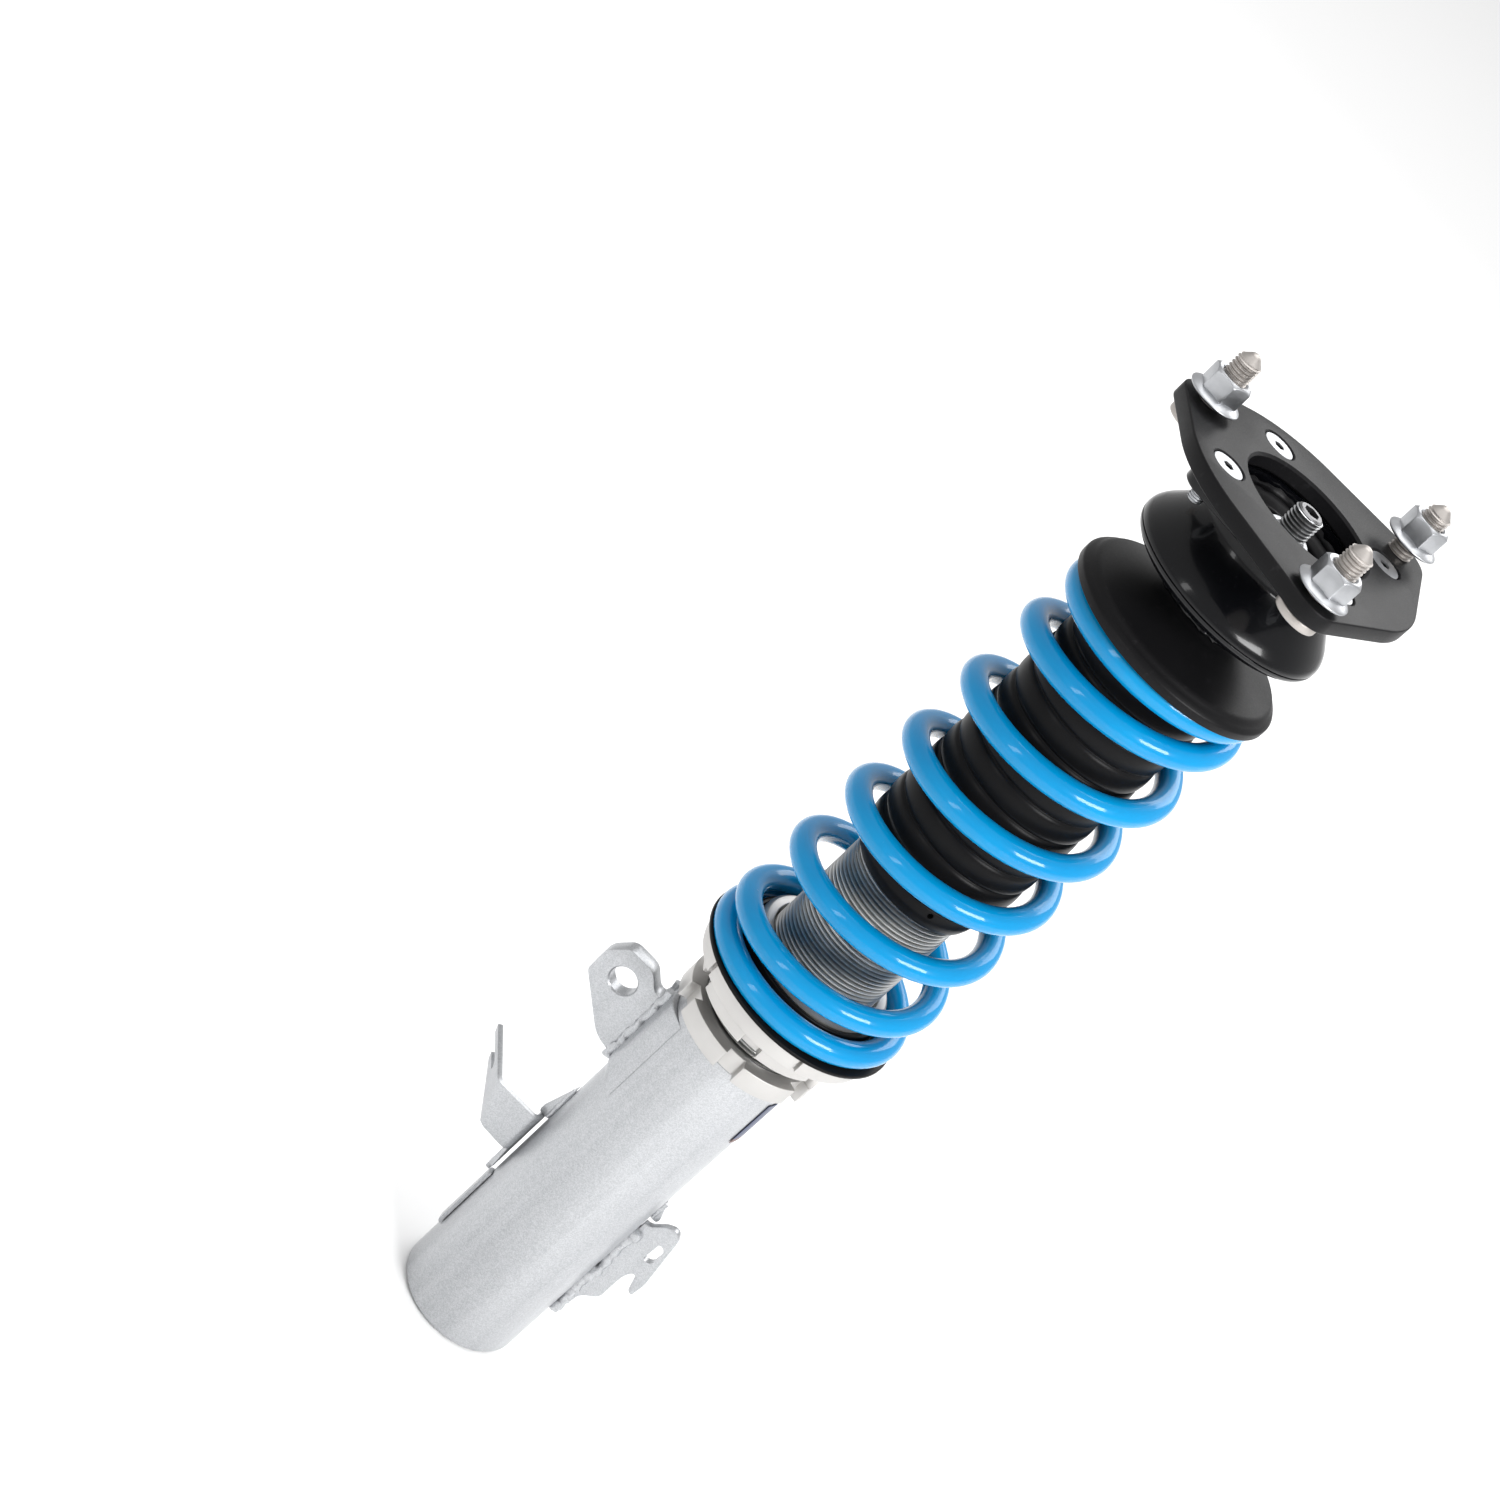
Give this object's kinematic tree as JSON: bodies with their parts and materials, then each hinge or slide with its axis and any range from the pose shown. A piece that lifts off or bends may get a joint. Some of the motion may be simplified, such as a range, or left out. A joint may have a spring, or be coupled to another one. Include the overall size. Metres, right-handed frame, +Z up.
{
  "type": "front coilover strut",
  "caption": "Front strut with a threaded damper in a bracketed knuckle sleeve, coil spring on an adjustable collar, swivelling seat and a studded top mount plate.",
  "frame": {"origin": "centre of the knuckle sleeve's flat bottom face", "axes": "+Z up the strut to the top plate; -X is the side of the link ear and the brake-hose bracket; -Y is the side of the front mount stud"},
  "size_m": [0.1227, 0.1192, 0.5234],
  "materials": {
    "sleeve_paint": "silver metallic paint",
    "bare_aluminium": "turned",
    "zinc_body": "zinc plated",
    "spring_blue": "glossy powder coat",
    "satin_black": "satin powder coat",
    "gloss_black": "gloss paint",
    "rubber": "moulded",
    "foam": "microcellular foam",
    "white_zinc": "white zinc",
    "warm_zinc": "aged zinc",
    "hard_chrome": "ground and chromed",
    "bearing_steel": "polished",
    "shim_steel": "ground",
    "slide_band": "filled fluoroplastic",
    "decal_blue": "printed film"
  },
  "bodies": {
    "knuckle_sleeve": {"sleeve_tube": "sleeve_paint", "sleeve_base_cap": "sleeve_paint", "link_ear": "sleeve_paint", "hose_bracket": "sleeve_paint", "hook_bracket": "sleeve_paint", "stop_fin_left": "sleeve_paint", "stop_fin_right": "sleeve_paint", "locating_rib": "sleeve_paint", "info_band": "decal_blue"},
    "lock_ring": {"sleeve_lock_ring": "bare_aluminium"},
    "damper": {"damper_body": "zinc_body", "body_foot_plug": "zinc_body", "rod_guide": "bare_aluminium", "oil_seal": "rubber", "gland_nut": "zinc_body", "rod_wiper": "rubber", "strike_cap": "zinc_body", "boot_cuff": "rubber", "dust_boot": "rubber"},
    "separator": {"separator_piston": "bare_aluminium", "separator_plug": "white_zinc"},
    "spring_perch": {"lower_isolator": "rubber", "coil_spring": "spring_blue"},
    "collar": {"spring_collar": "bare_aluminium"},
    "upper_seat": {"upper_spring_seat": "satin_black", "upper_isolator": "rubber", "bearing_lower_race": "bearing_steel"},
    "bearing_cage": {"bearing_ball_cage": "bearing_steel"},
    "top_mount": {"bearing_upper_race": "bearing_steel", "bush_inner_sleeve": "white_zinc", "mount_bush": "rubber", "bush_retainer": "satin_black", "rod_washer": "white_zinc", "rod_nut": "white_zinc", "mount_bowl_upper": "gloss_black", "mount_bowl_lower": "gloss_black", "top_plate": "satin_black", "mount_stud_left": "warm_zinc", "mount_stud_rear": "warm_zinc", "mount_stud_front": "warm_zinc", "flange_nut_left": "white_zinc", "flange_nut_rear": "white_zinc", "flange_nut_front": "white_zinc", "flange_screw_1": "white_zinc", "flange_screw_2": "white_zinc", "flange_screw_3": "white_zinc", "flange_screw_4": "white_zinc", "piston_rod": "hard_chrome", "bump_stop": "foam", "rebound_stop": "rubber", "damper_piston": "shim_steel", "piston_band": "slide_band", "compression_shims": "shim_steel", "rebound_shims": "shim_steel", "piston_nut": "white_zinc"}
  },
  "joints": [
    {"name": "lock_ring_turn", "type": "hinge", "parent": "knuckle_sleeve", "child": "lock_ring", "pos_m": [0, 0, 0.1951], "axis": [0, 0, 1], "range_deg": [0, 30]},
    {"name": "ride_height", "type": "slide", "parent": "knuckle_sleeve", "child": "damper", "axis": [0, 0, 1], "range_m": [0, 0.025]},
    {"name": "separator_float", "type": "slide", "parent": "damper", "child": "separator", "axis": [0, 0, 1], "range_m": [-0.0183, 0.0002]},
    {"name": "spring_preload", "type": "slide", "parent": "damper", "child": "spring_perch", "axis": [0, 0, 1], "range_m": [-0.006, 0]},
    {"name": "collar_turn", "type": "hinge", "parent": "spring_perch", "child": "collar", "pos_m": [0, 0, 0.2234], "axis": [0, 0, 1], "range_deg": [-1080, 0.5]},
    {"name": "damper_stroke", "type": "slide", "parent": "spring_perch", "child": "upper_seat", "axis": [0, 0, 1], "range_m": [-0.085, 0], "stiffness_N_per_m": 60000, "deforming": ["coil_spring", "dust_boot"]},
    {"name": "mount_swivel", "type": "hinge", "parent": "upper_seat", "child": "top_mount", "pos_m": [0, 0, 0.4528], "axis": [0, 0, 1], "range_deg": [-40, 40]},
    {"name": "bearing_roll", "type": "hinge", "parent": "upper_seat", "child": "bearing_cage", "pos_m": [0, 0, 0.4528], "axis": [0, 0, 1], "range_deg": [-20.5, 20.5]}
  ],
  "couplings": [
    {"joint": "collar_turn", "follows": "spring_preload", "rad_per_m": 3141.6},
    {"joint": "bearing_roll", "follows": "mount_swivel", "ratio": 0.5},
    {"joint": "separator_float", "follows": "damper_stroke", "ratio": 0.2143}
  ]
}
